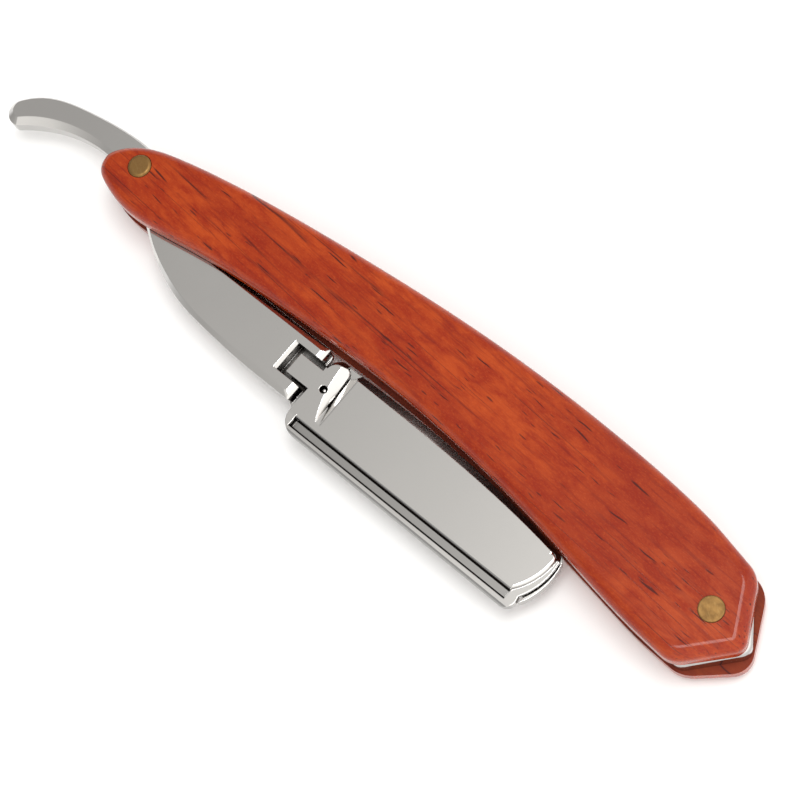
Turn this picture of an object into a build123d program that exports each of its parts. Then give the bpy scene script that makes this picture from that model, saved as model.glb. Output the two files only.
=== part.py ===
from build123d import *
import math
import os

# Replaceable-blade barber straight razor, lying on its rear scale.
# Millimetres. +Z up, +X from the pivot end of the handle to its hexagonal end,
# +Y towards the convex back of the handle, so the blade arm opens towards -Y.
# Outlines are drawn about the pivot axis and moved to the row frame on export.

# ---------------------------------------------------------------- driving sizes
SCALE_T = 3.75            # one wooden scale
GAP = 3.5                 # between the scales
ARM_T = 3.0               # blade arm and closed head
WASHER_T = 0.2
EDGE_R = 2.0              # rounding of a scale's outer edge
PIN_SPACING = 118.0       # pivot rivet to end rivet

HEAD_R = 2.0              # rivet heads
HEAD_SINK = 0.8           # head depth let into the wood
HEAD_PROUD = 0.3          # front heads stand proud, rear heads are flush
TUBE_R = 1.2              # female half of a rivet
STEM_R = 0.7              # male half, driven into the tube
PIVOT_CLEAR = 0.05

LEAF_T = 1.35             # lower leaf of the head
BLADE_ROOM = 0.13         # closed cover above the leaf, room for a half blade
BAND_T = 2.0              # flat part of the arm's sides, between the bevels

HINGE_Y = -16.3           # cover hinge, parallel to the spine
KNUCKLE_R = 0.75
KNUCKLE_FLAT = 0.5        # the knuckle's flattened top, above the hinge axis
BORE_R = 0.44
HINGE_PIN_R = 0.4
SLOT = (47.6, 91.9)       # long slot in the cover, filled by the knuckle
SLOT_Y = (-17.15, -15.45)
HINGE_GAP = 0.1
SPINE_Y = -18.05          # outer face of the cover's spine bar, at its heel end

# ---------------------------------------------------------------- levels
THICK = 2 * SCALE_T + GAP
MID = THICK / 2
ARM_LOW = MID - ARM_T / 2
ARM_TOP = MID + ARM_T / 2
LEAF_TOP = ARM_LOW + LEAF_T
COVER_LOW = LEAF_TOP + BLADE_ROOM
BAR_LOW = MID - 0.6       # underside of the spine bar
BAR_TOP = 6.95            # its top at the heel, from which it falls towards the tip
BAR_FALL = 0.0127
RIM_R = 0.45              # rounding of the raised plate at the tip and beside the valley
REACH = 40.0              # larger than any width, for cutting tools

# ---------------------------------------------------------------- outlines
SCALE_BACK = [(112.0, 10.1), (104.0, 11.3), (90.4, 12.25), (66.5, 12.35), (35.0, 9.95),
              (12.0, 6.9), (4.1, 5.3), (-2.5, 3.0), (-5.6, 0.4), (-6.6, -1.8)]
SCALE_BELLY = [(-6.6, -1.8), (-5.9, -4.0), (-3.3, -5.5), (0.6, -6.5), (13.5, -5.5),
               (33.5, -3.5), (56.0, -2.8), (78.2, -4.2), (94.6, -6.6), (104.0, -8.2),
               (113.0, -9.3)]
# the rear scale is a little fuller along the belly
REAR_BELLY = [(-6.6, -1.8), (-5.9, -4.0), (-3.3, -5.5), (0.6, -6.5), (13.5, -5.5),
              (33.5, -3.75), (56.0, -3.3), (78.2, -4.45), (94.6, -6.7), (104.0, -8.2),
              (113.0, -9.3)]
# the hexagonal ends were shaped by hand, so each scale has its own corners and roundings
HEX_FRONT = [(113.0, -9.3), (118.0, -9.7), (125.4, -1.6), (119.9, 8.35), (112.0, 10.1)]
FRONT_R = (4.0, 2.4, 4.5)
HEX_REAR = [(113.0, -9.3), (119.1, -9.6), (126.75, -2.85), (121.1, 8.1), (112.0, 10.1)]
REAR_R = (5.0, 3.4, 4.5)

# the arm's widest outline and its top face, each as the same seven edges
ARM_WIDE = {
    "back": [(-27.9, -3.0), (-24.2, 0.3), (-16.2, 2.8), (-7.9, 3.9), (-0.8, 3.6),
             (6.4, 1.0), (13.3, -2.2), (22.0, -3.75)],
    "front": [(44.0, -3.75), (44.95, -4.15), (45.3, -5.0)],
    "heel": [(45.3, -13.0), (44.95, -13.8), (44.0, -14.1)],
    "spine": [(44.0, -14.1), (32.0, -13.95), (25.6, -13.5), (17.9, -12.35), (13.1, -10.6),
              (8.2, -8.05), (4.3, -5.45), (-1.0, -2.7), (-9.1, -1.05), (-15.8, -1.9),
              (-19.4, -3.15), (-22.5, -4.75), (-25.2, -6.6)],
    "tip": (-27.6, -6.0),
}
ARM_FACE = {
    "back": [(-27.5, -3.2), (-24.0, 0.0), (-16.1, 2.5), (-7.9, 3.6), (-1.0, 3.2),
             (5.9, 0.2), (13.0, -3.2), (22.0, -4.75)],
    "front": [(42.9, -4.8), (43.5, -5.0), (43.7, -5.6)],
    "heel": [(43.7, -12.5), (43.5, -13.0), (42.9, -13.2)],
    "spine": [(42.9, -13.2), (32.0, -12.95), (25.4, -12.7), (18.1, -11.6), (13.5, -10.1),
              (8.5, -7.7), (4.7, -5.1), (-0.6, -2.2), (-10.4, -0.1), (-17.3, -1.0),
              (-20.6, -2.15), (-23.6, -3.75), (-25.7, -5.4)],
    "tip": (-27.2, -5.0),
}

# top of the prongs' bullnosed ends: x and depth below the arm's top face
PRONG_END = [(43.5, 0.0), (44.1, 0.22), (44.55, 0.6), (44.85, 1.1), (45.0, ARM_TOP - LEAF_TOP)]
NOTCH = (39.2, -11.45, 47.4, -6.0)       # x, y to x, y
NOTCH_BEVEL = 0.5
NOTCH_FLOOR = ARM_LOW + 0.6
TONGUE = (41.4, -10.75, 47.0, -7.15)

# cutting side of the head: lobe arc, short run, long gently curved lip
LIP_WIDE = {"lobe": [(45.7, -6.4), (46.2, -4.6), (47.7, -3.8)],
            "lip": [(50.4, -3.9), (62.0, -3.8), (78.0, -4.5), (94.2, -6.7)]}
LIP_FACE = {"lobe": [(46.4, -6.4), (47.0, -5.2), (48.1, -4.8)],
            "lip": [(51.2, -5.05), (62.0, -5.2), (78.0, -5.75), (93.6, -7.35)]}
TIP_WIDE = [(94.85, -7.7), (94.95, -10.9), (93.4, -15.5)]   # the cover's flange
FLANGE_GROOVE = (0.45, 0.4)              # depth and height of the crease under the flange
TIP_CORNER = [(93.6, -16.4), (93.15, -17.65), (91.7, -18.25)]
TIP_STEP = [(94.6, -8.3), (94.1, -11.7), (92.15, -15.25)]   # foot of the raised plate
TIP_FACE = [(94.4, -8.1), (93.9, -11.5), (91.95, -15.25)]
TIP_LEAF = [(95.05, -7.5), (95.35, -11.2), (93.75, -16.2)]  # the leaf shows round the flange
TIP_LEAF_LOW = [(95.05, -7.6), (95.4, -11.2), (93.75, -16.3)]
HEEL_X = 46.1

# the V beside the heel plate: bowed side, then its two far corners
VALLEY_TOP = ([(47.95, -2.0), (48.2, -6.2), (48.75, -9.3), (50.8, -14.15)], (51.6, -14.2), (51.6, -2.0))
VALLEY_LOW = ([(49.45, -2.0), (49.6, -5.0), (49.85, -7.7), (50.2, -11.0)], (50.35, -11.0), (49.9, -2.0))
# where the valley opens through the lip, between the lobe and the plate
VALLEY_MOUTH = [(48.6, -2.0), (48.6, -4.3), (49.25, -4.65), (49.75, -5.5), (50.2, -5.5),
                (51.15, -4.9), (51.15, -2.0)]

STUD_X = (57.85, 83.85)
STUD_Y = -14.0
STUD_R = 0.75
LATCH = (48.2, -9.4)
LATCH_R = 0.42
LATCH_HOLE_R = 0.68
LEAF_Y = -15.05                          # spine side of the leaf, clear of the bar's sweep
FRAME_IN = -15.0                         # inner edge of the frame, under the plate
HINGE_PIN_X = (46.7, 93.0)

SPACER = [(110.5, 9.7), (119.4, 7.7), (125.8, -0.95), (118.6, -9.15), (111.5, -8.75)]
SPACER_R = (2.6, 2.0, 2.6)
SPACER_WAIST = (113.5, 0.5)
SPACER_EDGE_R = 1.1
WASHER_R = 3.6
CENTRE = (48.7, -2.8)                    # middle of the whole razor, from the pivot

# rounded sections, each as inward distance from the edge's outer face and depth below its top
BAR_ROUND = [(0.85, 0.0), (0.45, 0.1), (0.15, 0.35), (0.0, 0.8)]
PLATE_ROUND = [(0.5, 0.0), (0.25, 0.06), (0.07, 0.22), (0.0, 0.5)]
BAR_ENDS = [(45.0, -18.03), (96.0, -18.27)]     # outer face of the bar, x and y

# middles of the plate's rounded edges
TIP_RIM = [(93.8, -11.9, 7.0), (94.1, -7.6, 7.0)]
VALLEY_RIM = [(51.6, -9.6, 7.0)]

# ---------------------------------------------------------------- helpers


def at(outline, z):
    """Closed face of a list of edges, lifted to a height."""
    return Pos(0, 0, z) * make_face(outline)


def smooth(points, start=None, end=None):
    """Smooth curve through points, with its end directions where they are given."""
    places = [Vector(*point) for point in points]
    runs = [(b - a).length for a, b in zip(places, places[1:])]
    total = sum(runs)
    parameters = [sum(runs[:i]) / total for i in range(len(places))]
    ends = [start.normalized() * total, end.normalized() * total] if start else None
    return Edge.make_spline(places, tangents=ends, parameters=parameters, scale=False)


def arm_outline(shape):
    back, front, heel, spine = shape["back"], shape["front"], shape["heel"], shape["spine"]
    return [
        smooth(back),
        Line(back[-1], front[0]),
        ThreePointArc(*front),
        Line(front[-1], heel[0]),
        ThreePointArc(*heel),
        smooth(spine),
        ThreePointArc(spine[-1], shape["tip"], back[0]),
    ]


def head_outline(lip, tip, heel_x, spine_y, heel_y):
    """Outline of one level of the head, from the lobe round the tip to the heel."""
    lobe, run = lip["lobe"], lip["lip"]
    return [
        Line((heel_x, lobe[0][1]), lobe[0]),
        ThreePointArc(*lobe),
        Line(lobe[-1], run[0]),
        smooth(run),
        ThreePointArc(run[-1], corner(run[-1], tip[0]), tip[0]),
        ThreePointArc(*tip),
        Line(tip[-1], (tip[-1][0], spine_y)),
        Line((tip[-1][0], spine_y), (HEEL_X, spine_y)),
        Line((HEEL_X, spine_y), (heel_x, heel_y)),
        Line((heel_x, heel_y), (heel_x, lobe[0][1])),
    ]


def corner(a, b):
    """Point on a small outward round between two edge ends."""
    bulge = 0.2
    mid = ((a[0] + b[0]) / 2, (a[1] + b[1]) / 2)
    run = math.hypot(b[0] - a[0], b[1] - a[1])
    return (mid[0] - bulge * (b[1] - a[1]) / run, mid[1] + bulge * (b[0] - a[0]) / run)


def edges_near(shape, middles):
    """The edge of a shape whose middle is nearest to each given point."""
    return [min(shape.edges(), key=lambda e: (e @ 0.5 - Vector(*m)).length) for m in middles]


def tapered(low, high, z_low, z_high):
    return loft([at(low, z_low), at(high, z_high)], ruled=True)


def rod(x, y, radius, low, high):
    return Pos(x, y, low) * Cylinder(radius, high - low, align=(Align.CENTER, Align.CENTER, Align.MIN))


def rod_x(radius, x_low, x_high):
    """Round bar along the cover hinge."""
    bar = Cylinder(radius, x_high - x_low, align=(Align.CENTER, Align.CENTER, Align.MIN))
    return Pos(x_low, HINGE_Y, MID) * Rot(0, 90, 0) * bar


def block(x_low, y_low, z_low, x_high, y_high, z_high):
    size = (x_high - x_low, y_high - y_low, z_high - z_low)
    return Pos(x_low, y_low, z_low) * Box(*size, align=(Align.MIN, Align.MIN, Align.MIN))


def rounded_polygon(points, radii):
    """Open run of lines whose inner corners are rounded."""
    wire = Wire.make_polygon([Vector(x, y) for x, y in points], close=False)
    for point, radius in zip(points[1:-1], radii):
        nearest = min(wire.vertices(), key=lambda v: (Vector(v) - Vector(*point)).length)
        wire = wire.fillet_2d(radius, [nearest])
    return wire.edges()

# ---------------------------------------------------------------- handle


def scale_solid(belly, hexagon, radii):
    """One wooden scale with its outer face up, from z = 0 to SCALE_T."""
    hex_in = Vector(*hexagon[-1]) - Vector(*hexagon[-2])
    hex_out = Vector(*hexagon[1]) - Vector(*hexagon[0])
    round_end = Vector(0, -1)
    outline = [
        smooth(SCALE_BACK, hex_in, round_end),
        smooth(belly, round_end, hex_out),
        *rounded_polygon(hexagon, radii),
    ]
    wood = extrude(at(outline, 0), SCALE_T)
    wood = fillet(wood.edges().group_by(Axis.Z)[-1], EDGE_R)
    for x in (0, PIN_SPACING):
        wood -= rod(x, 0, TUBE_R + PIVOT_CLEAR, -1, SCALE_T + 1)
        wood -= rod(x, 0, HEAD_R + 0.03, SCALE_T - HEAD_SINK, SCALE_T + 1)
    return wood


def spacer():
    back, end, belly = SPACER[0], SPACER[1:-1], SPACER[-1]
    outline = [
        *rounded_polygon([back, *end, belly], SPACER_R),
        ThreePointArc(belly, SPACER_WAIST, back),
    ]
    plate = extrude(at(outline, SCALE_T), GAP)
    plate = fillet(plate.edges().group_by(Axis.Z)[-1], SPACER_EDGE_R)
    return plate - rod(PIN_SPACING, 0, TUBE_R + PIVOT_CLEAR, 0, THICK)


def rivet_male(x, dome):
    """Solid half of a rivet: head on the front scale, stem driven into the tube."""
    head = rod(x, 0, HEAD_R, THICK - HEAD_SINK, THICK + HEAD_PROUD)
    head = fillet(head.edges().group_by(Axis.Z)[-1], dome)
    return head + rod(x, 0, STEM_R, HEAD_SINK + 1, THICK - HEAD_SINK)


def rivet_female(x):
    """Hollow half of a rivet: head flush in the rear scale, tube through the gap."""
    head = rod(x, 0, HEAD_R, 0, HEAD_SINK)
    tube = rod(x, 0, TUBE_R, HEAD_SINK, THICK - HEAD_SINK)
    return head + tube - rod(x, 0, STEM_R + 0.02, HEAD_SINK + 0.6, THICK)


def washer(low):
    ring = rod(0, 0, WASHER_R, low, low + WASHER_T)
    return ring - rod(0, 0, TUBE_R + PIVOT_CLEAR, low - 1, low + 1)

# ---------------------------------------------------------------- blade arm


def bevelled_arm():
    """Tail, tang and shank: a flat plate with a bevel round both faces."""
    wide, face = arm_outline(ARM_WIDE), arm_outline(ARM_FACE)
    low, high = MID - BAND_T / 2, MID + BAND_T / 2
    band = extrude(at(wide, low), BAND_T)
    return band + tapered(wide, face, high, ARM_TOP) + tapered(wide, face, low, ARM_LOW)


def notch():
    """Pocket between the prongs for the cover's tongue, with a bevel on its end wall."""
    x_low, y_low, x_high, y_high = NOTCH
    deep = x_low + NOTCH_BEVEL
    side = Polyline(
        (x_low - 1, ARM_TOP + 1), (x_low, ARM_TOP), (deep, ARM_TOP - NOTCH_BEVEL),
        (deep, NOTCH_FLOOR), (x_high, NOTCH_FLOOR), (x_high, ARM_TOP + 1), close=True)
    profile = Plane.XZ * make_face(side)
    return Pos(0, y_high, 0) * extrude(profile, y_high - y_low)


def prong_ends():
    """What is cut away above the rounded ends of the two prongs."""
    curve = [(x, ARM_TOP - depth) for x, depth in PRONG_END]
    side = Polyline(*curve, (REACH * 2, LEAF_TOP), (REACH * 2, THICK), (PRONG_END[0][0], THICK), close=True)
    profile = Plane.XZ * make_face(side)
    return Pos(0, REACH / 2, 0) * extrude(profile, REACH)


def leaf():
    """Lower half of the head, the bed for a half blade."""
    low = head_outline(LIP_FACE, TIP_LEAF_LOW, 44.0, LEAF_Y, -13.2)
    high = head_outline(LIP_WIDE, TIP_LEAF, 44.0, LEAF_Y, -13.6)
    return tapered(low, high, ARM_LOW, LEAF_TOP)


def knuckle():
    """Long flat-topped hinge barrel along the spine, on a web from the leaf."""
    x_low, x_high = SLOT[0] + HINGE_GAP, SLOT[1] - HINGE_GAP
    barrel = rod_x(KNUCKLE_R, x_low, x_high)
    barrel -= block(0, HINGE_Y - 2, MID + KNUCKLE_FLAT, REACH * 3, HINGE_Y + 2, THICK)
    section = Polyline((LEAF_Y + 0.5, LEAF_TOP - 0.05), (LEAF_Y + 0.5, ARM_LOW + 0.3),
                       (LEAF_Y, ARM_LOW + 0.5), (HINGE_Y + 0.55, MID - 0.5),
                       (HINGE_Y + 0.4, MID), (HINGE_Y + 0.7, MID - 0.25), close=True)
    profile = Plane.YZ * make_face(section)
    web = Pos(x_low, 0, 0) * extrude(profile, x_high - x_low)
    return barrel + web


def blade_arm():
    arm = bevelled_arm() - prong_ends() + leaf() + knuckle() - notch()
    arm -= rod(0, 0, TUBE_R + PIVOT_CLEAR, 0, THICK)
    arm -= rod_x(BORE_R, SLOT[0], SLOT[1])
    for x, y, radius in stud_places():
        arm -= rod(x, y, radius + 0.02, 0, THICK)
    return arm


def stud_places():
    return [(x, STUD_Y, STUD_R) for x in STUD_X] + [(*LATCH, LATCH_R)]


def blade_studs():
    """Two studs that a half blade's round cut-outs drop over."""
    top = COVER_LOW + 0.62
    studs = [rod(x, STUD_Y, STUD_R, ARM_LOW, top) for x in STUD_X]
    return Compound([chamfer(s.edges().group_by(Axis.Z)[-1], 0.15).solid() for s in studs])


def latch_stud():
    """Stud with a domed top, sunk in the closed cover's hole."""
    stud = rod(*LATCH, LATCH_R, ARM_LOW, ARM_TOP - 0.5)
    return fillet(stud.edges().group_by(Axis.Z)[-1], 0.35)

# ---------------------------------------------------------------- clamp cover


def cover_plate():
    low = head_outline(LIP_WIDE, TIP_STEP, HEEL_X, SLOT_Y[1], SLOT_Y[1] + 0.5)
    high = head_outline(LIP_FACE, TIP_FACE, HEEL_X, SLOT_Y[1], SLOT_Y[1] + 0.5)
    return tapered(low, high, COVER_LOW, ARM_TOP)


def cover_frame():
    """Spine bar, the blocks at the slot's ends and the flange round the tip."""
    heel_r = 3.0
    tip_x = TIP_WIDE[-1][0]
    outline = [
        Line((HEEL_X, FRAME_IN), (tip_x - 2, FRAME_IN)),
        Line((tip_x - 2, FRAME_IN), (tip_x - 0.2, TIP_WIDE[0][1])),
        Line((tip_x - 0.2, TIP_WIDE[0][1]), TIP_WIDE[0]),
        ThreePointArc(*TIP_WIDE),
        Line(TIP_WIDE[-1], TIP_CORNER[0]),
        ThreePointArc(*TIP_CORNER),
        Line(TIP_CORNER[-1], (HEEL_X + heel_r, SPINE_Y)),
        RadiusArc((HEEL_X + heel_r, SPINE_Y), (HEEL_X, SPINE_Y + heel_r), heel_r),
        Line((HEEL_X, SPINE_Y + heel_r), (HEEL_X, FRAME_IN)),
    ]
    bar = extrude(at(outline, BAR_LOW), THICK - BAR_LOW)
    bar -= block(0, SLOT_Y[1], 0, REACH * 3, 0, COVER_LOW)
    slope = Polyline((0, BAR_TOP + BAR_FALL * HEEL_X), (0, THICK + 1), (REACH * 3, THICK + 1),
                     (REACH * 3, BAR_TOP - BAR_FALL * (REACH * 3 - HEEL_X)), close=True)
    return bar - extrude(Plane.XZ * make_face(slope), REACH)


def flange_groove():
    """Crease under the flange, where it meets the leaf round the tip."""
    depth, height = FLANGE_GROOVE
    keep = [
        Line((60, TIP_WIDE[0][1]), TIP_WIDE[0]),
        ThreePointArc(*TIP_WIDE),
        Line(TIP_WIDE[-1], (60, TIP_WIDE[-1][1])),
        Line((60, TIP_WIDE[-1][1]), (60, TIP_WIDE[0][1])),
    ]
    ring = block(90, TIP_WIDE[-1][1], COVER_LOW, 97, TIP_WIDE[0][1], COVER_LOW + height)
    return ring - Pos(-depth, 0, 0) * extrude(at(keep, COVER_LOW - 1), 3)


def edge_section(x, y, top, section):
    """Section across an edge facing -Y, of the material that its rounding takes away."""
    curve = [(x, y + inward, top - depth) for inward, depth in section]
    outer = [(x, y - 1, curve[-1][2]), (x, y - 1, top + 1), (x, curve[0][1], top + 1)]
    return make_face(Polyline(*curve, *outer, close=True))


def bar_rounding():
    ends = [edge_section(x, y, BAR_TOP - BAR_FALL * (x - HEEL_X), BAR_ROUND) for x, y in BAR_ENDS]
    return loft(ends, ruled=True)


def plate_rounding():
    """Rounding of the plate's edge along the slot."""
    ends = [edge_section(x, SLOT_Y[1], ARM_TOP, PLATE_ROUND) for x in SLOT]
    return loft(ends, ruled=True)


def valley_outline(side, corner_low, corner_high):
    return [
        smooth(side),
        Line(side[-1], corner_low),
        Line(corner_low, corner_high),
        Line(corner_high, side[0]),
    ]


def valley():
    """V between the heel plate and the clamping plate, open as a slit at its floor."""
    top, low = valley_outline(*VALLEY_TOP), valley_outline(*VALLEY_LOW)
    floor = COVER_LOW + 0.4
    slit = extrude(at(low, COVER_LOW - 0.2), floor - COVER_LOW + 0.2)
    return slit + tapered(low, top, floor, ARM_TOP)


def valley_mouth():
    return extrude(at(Polyline(*VALLEY_MOUTH, close=True), COVER_LOW - 1), 4)


def clamp_cover():
    cover = cover_plate()
    cover = fillet(edges_near(cover, TIP_RIM), RIM_R) - valley()
    cover = fillet(edges_near(cover, VALLEY_RIM), RIM_R) - valley_mouth()
    cover += cover_frame() - flange_groove()
    x_low, y_low, x_high, y_high = TONGUE
    cover += block(x_low, y_low, COVER_LOW, x_high, y_high, ARM_TOP)
    cover -= block(SLOT[0], SLOT_Y[0], 0, SLOT[1], SLOT_Y[1], THICK)
    cover -= bar_rounding() + plate_rounding()
    cover += rod_x(KNUCKLE_R + 0.05, SLOT[0] - 0.6, SLOT[0])
    cover += rod_x(KNUCKLE_R + 0.05, SLOT[1], SLOT[1] + 1.2)
    cover -= rod_x(HINGE_PIN_R, *HINGE_PIN_X)
    cover -= rod(*LATCH, LATCH_HOLE_R, 0, THICK)
    for x in STUD_X:
        cover -= rod(x, STUD_Y, STUD_R + 0.5, 0, COVER_LOW + 0.95)
    return cover


def cover_hinge_pin():
    return rod_x(HINGE_PIN_R, *HINGE_PIN_X)

# ---------------------------------------------------------------- write the parts


def front(part):
    return Pos(0, 0, THICK - SCALE_T) * part


def rear(part):
    return Pos(0, 0, SCALE_T) * mirror(part, Plane.XY)


def nodes():
    return {
        "scale_front": front(scale_solid(SCALE_BELLY, HEX_FRONT, FRONT_R)),
        "scale_rear": rear(scale_solid(REAR_BELLY, HEX_REAR, REAR_R)),
        "end_spacer": spacer(),
        "pivot_rivet_male": rivet_male(0, 0.5),
        "pivot_rivet_female": rivet_female(0),
        "end_rivet_male": rivet_male(PIN_SPACING, 0.12),
        "end_rivet_female": rivet_female(PIN_SPACING),
        "pivot_washer_front": washer(THICK - SCALE_T - WASHER_T),
        "pivot_washer_rear": washer(SCALE_T),
        "blade_arm": blade_arm(),
        "blade_studs": blade_studs(),
        "latch_stud": latch_stud(),
        "clamp_cover": clamp_cover(),
        "cover_hinge_pin": cover_hinge_pin(),
    }


def main():
    os.makedirs("parts", exist_ok=True)
    for name, part in nodes().items():
        export_step(Pos(-CENTRE[0], -CENTRE[1], 0) * part, f"parts/{name}.step")


main()
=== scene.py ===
"""Looks of the straight razor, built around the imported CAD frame. Metres, in the frame's own axes."""
import math

import bpy
from mathutils import Matrix, Vector


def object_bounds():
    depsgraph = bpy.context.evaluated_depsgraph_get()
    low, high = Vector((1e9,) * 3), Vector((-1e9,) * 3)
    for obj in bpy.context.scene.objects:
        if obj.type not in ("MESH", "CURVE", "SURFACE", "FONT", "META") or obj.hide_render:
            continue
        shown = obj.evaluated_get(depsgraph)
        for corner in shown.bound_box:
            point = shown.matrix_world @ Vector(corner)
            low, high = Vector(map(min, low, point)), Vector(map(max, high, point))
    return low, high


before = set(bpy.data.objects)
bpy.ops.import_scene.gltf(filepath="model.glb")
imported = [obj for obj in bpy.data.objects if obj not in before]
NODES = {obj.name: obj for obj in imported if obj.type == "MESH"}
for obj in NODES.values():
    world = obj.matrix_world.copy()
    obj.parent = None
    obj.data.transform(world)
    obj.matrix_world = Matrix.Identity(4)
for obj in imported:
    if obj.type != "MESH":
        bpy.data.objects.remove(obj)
CAD_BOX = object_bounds()

# ------------------------------------------------------------------ view and light
CAMERA_TARGET = Vector((0.01189, -0.00109, 0.011))
CAMERA_AZIMUTH = math.radians(-18.874)    # where the camera stands, from +X
CAMERA_ELEVATION = math.radians(67.224)
CAMERA_ROLL = math.radians(31.655)
CAMERA_DISTANCE = 0.37211
CAMERA_LENS = 110.43
SENSOR = 36.0

KEY_SIZE = (0.36, 0.50)
KEY_PLACE = Vector((0.10, 0.12, 1.0))
KEY_WATTS = 3.6
WALL_STOPS = [(0.0, 0.36), (0.235, 0.46), (0.30, 0.59), (0.34, 0.76), (0.36, 0.93), (0.42, 1.0),
              (0.56, 1.05), (0.63, 1.5)]
WALL_TINT = (1.0, 0.985, 0.96)
WHITE_BELOW = (0.42, 0.20)                # sine of the height at which the sky starts and ends turning white

FLOOR_HALF = 1.5
FLOOR_DROP = 0.0001
FLOOR_ALBEDO = (0.94, 0.94, 0.94, 1.0)


def add_camera():
    data = bpy.data.cameras.new("camera")
    data.sensor_width = SENSOR
    data.lens = CAMERA_LENS
    data.clip_start = 0.01
    camera = bpy.data.objects.new("camera", data)
    level = math.cos(CAMERA_ELEVATION)
    away = Vector((level * math.cos(CAMERA_AZIMUTH), level * math.sin(CAMERA_AZIMUTH),
                   math.sin(CAMERA_ELEVATION)))
    aim = away.to_track_quat("Z", "Y").to_matrix().to_4x4()
    camera.matrix_world = (Matrix.Translation(CAMERA_TARGET + CAMERA_DISTANCE * away)
                           @ aim @ Matrix.Rotation(-CAMERA_ROLL, 4, "Z"))
    bpy.context.scene.collection.objects.link(camera)
    bpy.context.scene.camera = camera


def add_key_light():
    data = bpy.data.lights.new("softbox", "AREA")
    data.shape = "RECTANGLE"
    data.size, data.size_y = KEY_SIZE
    data.energy = KEY_WATTS
    light = bpy.data.objects.new("softbox", data)
    light.location = KEY_PLACE
    bpy.context.scene.collection.objects.link(light)


def add_world():
    """Pale studio: overhead it greys towards -X, where the flat steel mirrors it; low down it is white."""
    world = bpy.data.worlds.new("studio")
    world.use_nodes = True
    bpy.context.scene.world = world
    nodes, links = world.node_tree.nodes, world.node_tree.links
    nodes.clear()
    place = nodes.new("ShaderNodeTexCoord")
    split = nodes.new("ShaderNodeSeparateXYZ")
    links.new(place.outputs["Generated"], split.inputs[0])
    across = nodes.new("ShaderNodeMapRange")
    across.inputs["From Min"].default_value = -1.0
    links.new(split.outputs["X"], across.inputs["Value"])
    walls = nodes.new("ShaderNodeValToRGB")
    stops = walls.color_ramp.elements
    for _ in WALL_STOPS[2:]:
        stops.new(0.5)
    for stop, (spot, level) in zip(stops, WALL_STOPS):
        stop.position = spot
        stop.color = tuple(level * tint for tint in WALL_TINT) + (1.0,)
    links.new(across.outputs["Result"], walls.inputs["Fac"])
    low = nodes.new("ShaderNodeMapRange")
    low.inputs["From Min"].default_value, low.inputs["From Max"].default_value = WHITE_BELOW
    links.new(split.outputs["Z"], low.inputs["Value"])
    blend = nodes.new("ShaderNodeMix")
    blend.data_type = "RGBA"
    blend.blend_type = "LIGHTEN"
    blend.inputs["B"].default_value = (1.0, 1.0, 1.0, 1.0)
    links.new(low.outputs["Result"], blend.inputs["Factor"])
    links.new(walls.outputs["Color"], blend.inputs["A"])
    glow = nodes.new("ShaderNodeBackground")
    links.new(blend.outputs["Result"], glow.inputs["Color"])
    out = nodes.new("ShaderNodeOutputWorld")
    links.new(glow.outputs[0], out.inputs["Surface"])


def add_floor():
    mesh = bpy.data.meshes.new("floor")
    low = CAD_BOX[0][2] - FLOOR_DROP
    corners = [(-1, -1), (1, -1), (1, 1), (-1, 1)]
    mesh.from_pydata([(FLOOR_HALF * x, FLOOR_HALF * y, low) for x, y in corners], [], [(0, 1, 2, 3)])
    floor = bpy.data.objects.new("floor", mesh)
    bpy.context.scene.collection.objects.link(floor)
    material = bpy.data.materials.new("floor")
    material.use_nodes = True
    shader = material.node_tree.nodes["Principled BSDF"]
    shader.inputs["Base Color"].default_value = FLOOR_ALBEDO
    shader.inputs["Roughness"].default_value = 0.9
    shader.inputs["Specular IOR Level"].default_value = 0.1
    mesh.materials.append(material)


# ------------------------------------------------------------------ node shorthand


def rgb(red, green, blue):
    return (red, green, blue, 1.0)


LEVEL_SLACK = 0.04        # how far a surface may lie outside a band and still be in it, in mm


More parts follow.
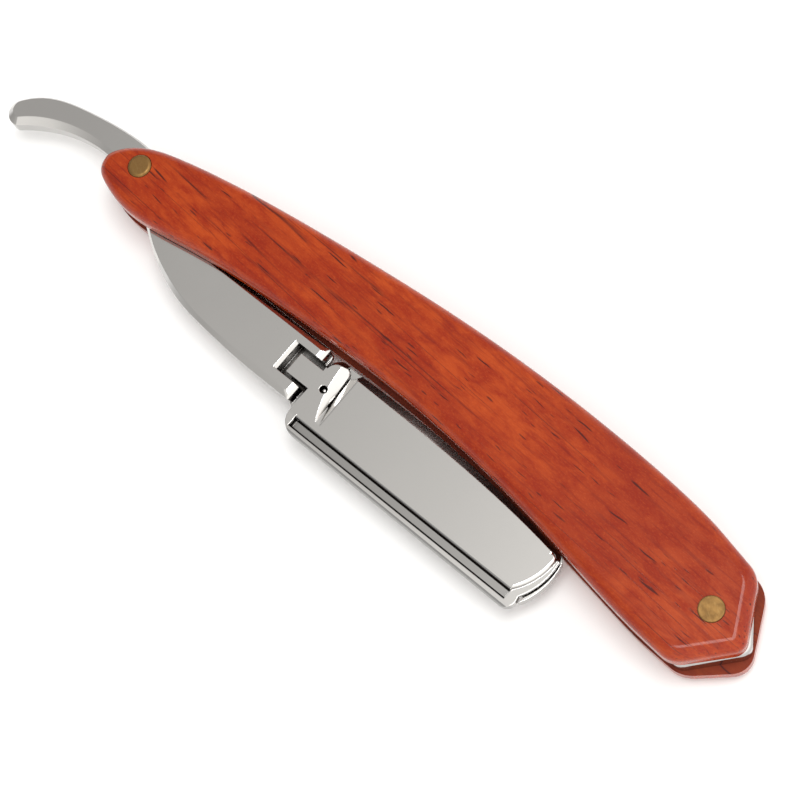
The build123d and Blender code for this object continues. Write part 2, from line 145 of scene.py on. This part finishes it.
class Graph:
    """Short calls for building one material's node tree."""

    def __init__(self, name):
        self.material = bpy.data.materials.new(name)
        self.material.use_nodes = True
        self.nodes = self.material.node_tree.nodes
        self.links = self.material.node_tree.links
        self.shader = self.nodes["Principled BSDF"]

    def add(self, kind, **settings):
        node = self.nodes.new(kind)
        for key, value in settings.items():
            setattr(node, key, value)
        return node

    def put(self, socket, value):
        if isinstance(value, bpy.types.NodeSocket):
            self.links.new(value, socket)
        else:
            socket.default_value = value

    def place(self, scale=(1, 1, 1), turn=0.0, shift=0.0):
        """Object position in millimetres, turned about Z, stretched, then shifted."""
        spot = self.add("ShaderNodeTexCoord").outputs["Object"]
        turned = self.add("ShaderNodeVectorRotate", rotation_type="Z_AXIS")
        self.put(turned.inputs["Vector"], spot)
        self.put(turned.inputs["Angle"], turn)
        sized = self.add("ShaderNodeMapping")
        self.put(sized.inputs["Vector"], turned.outputs[0])
        self.put(sized.inputs["Scale"], [1000.0 * s for s in scale])
        self.put(sized.inputs["Location"], (shift, shift, 0.0))
        return sized.outputs[0]

    def push(self, vector, direction, amount):
        """Vector moved along a fixed direction by a varying amount."""
        step = self.add("ShaderNodeVectorMath", operation="SCALE")
        self.put(step.inputs[0], direction)
        self.put(step.inputs["Scale"], amount)
        moved = self.add("ShaderNodeVectorMath", operation="ADD")
        self.put(moved.inputs[0], vector)
        self.put(moved.inputs[1], step.outputs[0])
        return moved.outputs[0]

    def noise(self, vector, scale, detail=2.0, rough=0.5, warp=0.0):
        node = self.add("ShaderNodeTexNoise")
        self.put(node.inputs["Vector"], vector)
        self.put(node.inputs["Scale"], scale)
        self.put(node.inputs["Detail"], detail)
        self.put(node.inputs["Roughness"], rough)
        self.put(node.inputs["Distortion"], warp)
        return node.outputs["Fac"]

    def cells(self, vector, scale):
        node = self.add("ShaderNodeTexVoronoi")
        self.put(node.inputs["Vector"], vector)
        self.put(node.inputs["Scale"], scale)
        return node.outputs["Distance"], node.outputs["Color"]

    def math(self, operation, a, b=0.5):
        node = self.add("ShaderNodeMath", operation=operation)
        self.put(node.inputs[0], a)
        self.put(node.inputs[1], b)
        return node.outputs[0]

    def span(self, value, low, high, out_low=0.0, out_high=1.0, soft=True):
        node = self.add("ShaderNodeMapRange", interpolation_type="SMOOTHSTEP" if soft else "LINEAR")
        limits = {"From Min": low, "From Max": high, "To Min": out_low, "To Max": out_high}
        for name, number in limits.items():
            self.put(node.inputs[name], number)
        self.put(node.inputs["Value"], value)
        return node.outputs["Result"]

    def mix(self, factor, a, b):
        node = self.add("ShaderNodeMix", data_type="RGBA")
        self.put(node.inputs["Factor"], factor)
        self.put(node.inputs["A"], a)
        self.put(node.inputs["B"], b)
        return node.outputs["Result"]

    def bump(self, height, distance, strength=1.0, normal=None):
        node = self.add("ShaderNodeBump")
        self.put(node.inputs["Height"], height)
        self.put(node.inputs["Distance"], distance)
        self.put(node.inputs["Strength"], strength)
        if normal:
            self.put(node.inputs["Normal"], normal)
        return node.outputs["Normal"]

    def edge(self, radius):
        """Normal of a slightly rounded edge."""
        node = self.add("ShaderNodeBevel", samples=6)
        self.put(node.inputs["Radius"], radius)
        return node.outputs["Normal"]

    def between(self, axis, low, high):
        """1 on and between two places along an axis, in millimetres."""
        split = self.add("ShaderNodeSeparateXYZ")
        self.put(split.inputs[0], self.place())
        above = self.math("GREATER_THAN", split.outputs[axis], low - LEVEL_SLACK)
        below = self.math("LESS_THAN", split.outputs[axis], high + LEVEL_SLACK)
        return self.math("MULTIPLY", above, below)

    def facing(self, axis):
        """How far a face looks along an axis, from -1 to 1."""
        split = self.add("ShaderNodeSeparateXYZ")
        self.put(split.inputs[0], self.add("ShaderNodeTexCoord").outputs["Normal"])
        return split.outputs[axis]

    def flatness(self, steep, level):
        """0 on the side walls, 1 on the faces that look up or down."""
        return self.span(self.math("ABSOLUTE", self.facing("Z")), steep, level)

    def recess(self, reach, open_level, shut_level):
        """1 in the open, 0 deep in a gap narrower than the reach."""
        node = self.add("ShaderNodeAmbientOcclusion", samples=12)
        self.put(node.inputs["Distance"], reach)
        return self.span(node.outputs["AO"], shut_level, open_level)

    def surface(self, **inputs):
        for key, value in inputs.items():
            self.put(self.shader.inputs[key.replace("_", " ")], value)
        return self.material


# ------------------------------------------------------------------ materials
GRAIN_TURN = math.radians(4.0)
SCALE_FACE = 3.75         # levels of the scales' inner faces, which have no lacquer, in mm
FRONT_FACE = 7.25
FACE_INSET = 0.02
BAND_X = (-1.1, 43.2)     # the cover's slot, which the knuckle shows in, in mm
BAND_Y = (-14.4, -12.6)

WOOD_DEEP = rgb(0.272, 0.021, 0.0036)
WOOD_BRIGHT = rgb(0.405, 0.054, 0.0078)
WOOD_SHADE = rgb(0.215, 0.012, 0.003)
WOOD_FLECK = rgb(0.49, 0.082, 0.016)
WOOD_FIBRE = rgb(0.170, 0.011, 0.004)
WOOD_HALO = rgb(0.15, 0.013, 0.008)
WOOD_INNER_DARK = rgb(0.10, 0.018, 0.008)
PORE = rgb(0.050, 0.007, 0.006)
DASH_WIDTH = 0.33

STEEL_TINT = (0.72, 0.705, 0.685)
STEEL_WALL_SHADE = 0.62         # painted shade: brightness of the steep walls, the spine side and the knuckle in its slot
STEEL_SPINE_SHADE = 0.42
STEEL_SLOT_SHADE = 0.66
# painted shade: the colour drawn deep in the steel's gaps
STEEL_GAP_SHADE = rgb(0.016, 0.012, 0.010)
STEEL_GAP_REACH = 0.0026
STEEL_EDGE = 0.00016

BRASS_PLAIN = rgb(0.262, 0.148, 0.051)
BRASS_TARNISH = rgb(0.225, 0.126, 0.046)
BRASS_SCUFF = rgb(0.31, 0.20, 0.08)
BRASS_RIM = rgb(0.08, 0.04, 0.015)
BRASS_EDGE = 0.00025


def pores(g, stretch, scale, width, shift):
    """Short dark dashes along the grain, of mixed length."""
    spot = g.place((stretch, 1.0, 1.0), GRAIN_TURN, shift)
    bend = g.noise(g.place((0.15, 0.4, 0.4), GRAIN_TURN), 1.0, 2.0)
    spot = g.push(spot, (0.0, 1.2, 0.0), bend)
    distance, pick = g.cells(spot, scale)
    size = g.span(pick, 0.15, 0.95, 0.0, width, soft=False)
    return g.span(g.math("SUBTRACT", size, distance), 0.0, width * 0.35)


def growth_lines(g):
    """Long wavy dark lines, each one fading in and out along the grain."""
    field = g.noise(g.place((0.012, 1.0, 0.6), GRAIN_TURN, 3.0), 0.22, 2.0, 0.4)
    ring = g.math("PINGPONG", g.math("MULTIPLY", field, 9.0), 1.0)
    line = g.span(ring, 0.06, 0.0)
    broken = g.noise(g.place((0.10, 0.8, 0.8), GRAIN_TURN, 9.0), 0.5, 3.0, 0.6)
    return g.math("MULTIPLY", line, g.span(broken, 0.42, 0.60))


def wood(name):
    """Lacquered padauk-like hardwood: orange-red, softly mottled, with dark pores along the grain."""
    g = Graph(name)
    broad = g.noise(g.place((0.25, 1.0, 1.0), GRAIN_TURN), 0.11, 3.0, 0.55, 0.6)
    cloud = g.noise(g.place((0.40, 1.0, 1.0), GRAIN_TURN), 0.50, 4.0, 0.62, 0.3)
    fibre = g.noise(g.place((0.045, 1.0, 1.0), GRAIN_TURN), 2.6, 3.0, 0.62)
    grit = g.noise(g.place((0.4, 1.0, 1.0), GRAIN_TURN), 5.0, 2.0, 0.6)
    base = g.mix(g.span(cloud, 0.32, 0.68), WOOD_DEEP, WOOD_BRIGHT)
    base = g.mix(g.span(broad, 0.62, 0.36, 0.0, 0.5), base, WOOD_SHADE)
    base = g.mix(g.span(grit, 0.50, 0.72, 0.0, 0.30), base, WOOD_FLECK)
    base = g.mix(g.span(fibre, 0.50, 0.74, 0.0, 0.60), base, WOOD_FIBRE)
    dashes = pores(g, 0.075, 1.50, DASH_WIDTH, 0.0)
    ticks = pores(g, 0.130, 2.10, DASH_WIDTH, 37.0)
    gather = g.noise(g.place((0.3, 1.0, 1.0), GRAIN_TURN, 21.0), 0.16, 2.0, 0.5)
    ticks = g.math("MULTIPLY", ticks, g.span(gather, 0.42, 0.54))
    fine = g.math("MAXIMUM", g.math("MULTIPLY", ticks, 0.8), growth_lines(g))
    dark = g.math("MAXIMUM", dashes, fine)
    halo = g.noise(g.place((0.09, 1.0, 1.0), GRAIN_TURN, 5.0), 0.8, 2.0, 0.5)
    base = g.mix(g.span(halo, 0.60, 0.78, 0.0, 0.5), base, WOOD_HALO)
    inside = g.between("Z", SCALE_FACE + FACE_INSET, FRONT_FACE - FACE_INSET)
    # the scales' inner faces are drawn darker, as well as rougher
    base = g.mix(g.math("MULTIPLY", inside, 0.6), base, WOOD_INNER_DARK)
    color = g.mix(g.math("MULTIPLY", dark, 0.88), base, PORE)
    height = g.math("SUBTRACT", g.math("MULTIPLY", grit, 0.12), dark)
    normal = g.bump(height, 0.00003, 0.4)
    gloss = g.span(cloud, 0.3, 0.7, 0.11, 0.17)
    roughness = g.math("MAXIMUM", gloss, g.math("MULTIPLY", inside, 0.7))
    return g.surface(Base_Color=color, Roughness=roughness, Normal=normal, Specular_IOR_Level=0.28)


def shaded(level):
    """The steel's colour at a lower brightness."""
    return rgb(*[level * tint for tint in STEEL_TINT])


def steel(name, painted_spine_shade=False, band=False):
    """Polished steel with faint polishing lines along the arm, and painted shade, near black, deep in the
    gaps.

    painted_spine_shade darkens the walls of the spine side with painted shade; band darkens the knuckle in
    the cover's slot with painted shade.
    """
    g = Graph(name)
    lines = g.noise(g.place((0.05, 1.0, 1.0)), 9.0, 2.0, 0.6)
    smudge = g.noise(g.place(), 0.12, 3.0, 0.5)
    roughness = g.math("ADD", g.span(lines, 0.3, 0.7, 0.0, 0.03), g.span(smudge, 0.35, 0.7, 0.06, 0.10))
    color = g.mix(g.span(smudge, 0.3, 0.7), shaded(1.0), shaded(0.97))
    # painted shade: steep walls are drawn darker than the faces that look up or down
    color = g.mix(g.flatness(0.40, 0.85), shaded(STEEL_WALL_SHADE), color)
    if band:
        # painted shade: the knuckle is drawn darker where it shows in the cover's slot
        knuckle = g.math("MULTIPLY", g.between("X", *BAND_X), g.between("Y", *BAND_Y))
        color = g.mix(knuckle, color, shaded(STEEL_SLOT_SHADE))
    # painted shade: near black deep in narrow gaps, found by an occlusion test
    color = g.mix(g.recess(STEEL_GAP_REACH, 0.60, 0.34), STEEL_GAP_SHADE, color)
    if painted_spine_shade:
        # painted shade: walls that face the spine side are drawn darker
        color = g.mix(g.span(g.facing("Y"), -0.25, -0.65), color, shaded(STEEL_SPINE_SHADE))
    normal = g.bump(lines, 0.000003, 0.25, g.edge(STEEL_EDGE))
    return g.surface(Base_Color=color, Metallic=1.0, Roughness=roughness, Normal=normal)


def brass(name):
    """Aged brass: dulled olive-gold with darker tarnish in patches and round the rim."""
    g = Graph(name)
    tarnish = g.noise(g.place(), 0.8, 4.0, 0.6)
    scuff = g.noise(g.place((0.3, 1.0, 1.0), 0.6), 4.0, 2.0, 0.6)
    color = g.mix(g.span(tarnish, 0.35, 0.68), BRASS_PLAIN, BRASS_TARNISH)
    color = g.mix(g.span(scuff, 0.5, 0.75, 0.0, 0.4), color, BRASS_SCUFF)
    color = g.mix(g.recess(0.0005, 0.75, 0.35), BRASS_RIM, color)
    normal = g.bump(scuff, 0.00001, 0.35, g.edge(BRASS_EDGE))
    roughness = g.span(tarnish, 0.3, 0.7, 0.42, 0.58)
    return g.surface(Base_Color=color, Metallic=1.0, Roughness=roughness, Normal=normal)


def dress(material, *names):
    for name in names:
        NODES[name].data.materials.clear()
        NODES[name].data.materials.append(material)


def dress_frame():
    dress(wood("wood"), "scale_front", "scale_rear")
    arm_pieces = ("blade_arm", "latch_stud", "blade_studs", "cover_hinge_pin")
    dress(steel("arm_steel", band=True), *arm_pieces)
    dress(steel("cover_steel", painted_spine_shade=True), "clamp_cover")
    dress(steel("spacer_steel"), "end_spacer")
    rivets = ("pivot_rivet_male", "pivot_rivet_female", "end_rivet_male", "end_rivet_female")
    dress(brass("brass"), *rivets, "pivot_washer_front", "pivot_washer_rear")


add_camera()
add_key_light()
add_world()
add_floor()
dress_frame()
bpy.context.scene.view_settings.view_transform = "Standard"
